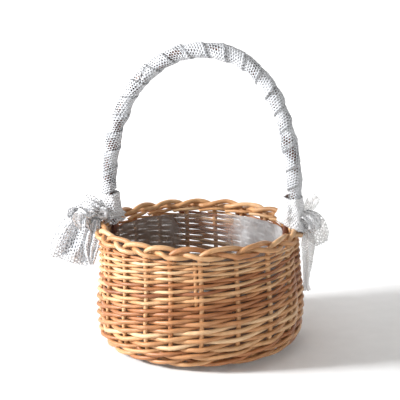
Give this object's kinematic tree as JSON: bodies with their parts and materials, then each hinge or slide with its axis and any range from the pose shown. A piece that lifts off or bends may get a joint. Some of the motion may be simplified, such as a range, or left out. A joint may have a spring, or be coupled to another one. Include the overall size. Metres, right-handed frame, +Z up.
{
  "type": "flower girl basket",
  "caption": "Small round willow basket with a fixed arch handle wound in white lace, a lace bow at each handle foot and a clear film liner.",
  "frame": {"origin": "centre of the foot, on the surface that the basket stands on", "axes": "+Z up through the middle of the basket; the handle stands in the XZ plane; -Y is the front; +X is to the right of someone facing the front"},
  "size_m": [0.27, 0.2098, 0.2975],
  "materials": {
    "willow": "buff willow rods, boiled and peeled, satin",
    "willow_dark": "dark reddish willow rods, satin",
    "lace": "white cotton eyelet lace, matt",
    "film": "thin clear soft plastic film, glossy"
  },
  "bodies": {
    "root": {"base_stick_split_1": "willow", "base_stick_split_2": "willow", "base_stick_split_3": "willow", "base_stick_split_4": "willow", "base_stick_split_5": "willow", "base_stick_threaded_1": "willow", "base_stick_threaded_2": "willow", "base_stick_threaded_3": "willow", "base_stick_threaded_4": "willow", "base_stick_threaded_5": "willow", "base_weave": "willow", "foot_waling": "willow", "side_weave_lower": "willow", "side_weave_middle": "willow", "side_weave_upper": "willow", "stake_00": "willow", "stake_01": "willow", "stake_02": "willow", "stake_03": "willow", "stake_04": "willow", "stake_05": "willow", "stake_06": "willow", "stake_07": "willow", "stake_08": "willow", "stake_09": "willow", "stake_10": "willow", "stake_11": "willow", "stake_12": "willow", "stake_13": "willow", "stake_14": "willow", "stake_15": "willow", "stake_16": "willow", "stake_17": "willow", "stake_18": "willow", "stake_19": "willow", "bye_stake_front": "willow", "handle_rod_1": "willow_dark", "handle_rod_2": "willow_dark", "handle_rod_3": "willow_dark", "lace_winding": "lace", "lace_cuff_left": "lace", "lace_cuff_right": "lace", "bow_left_knot": "lace", "bow_left_loop": "lace", "bow_left_tail_wide": "lace", "bow_left_tail_narrow": "lace", "bow_right_knot": "lace", "bow_right_loop": "lace", "bow_right_ruffle": "lace", "bow_right_tail": "lace", "liner_film": "film"}
  },
  "joints": []
}
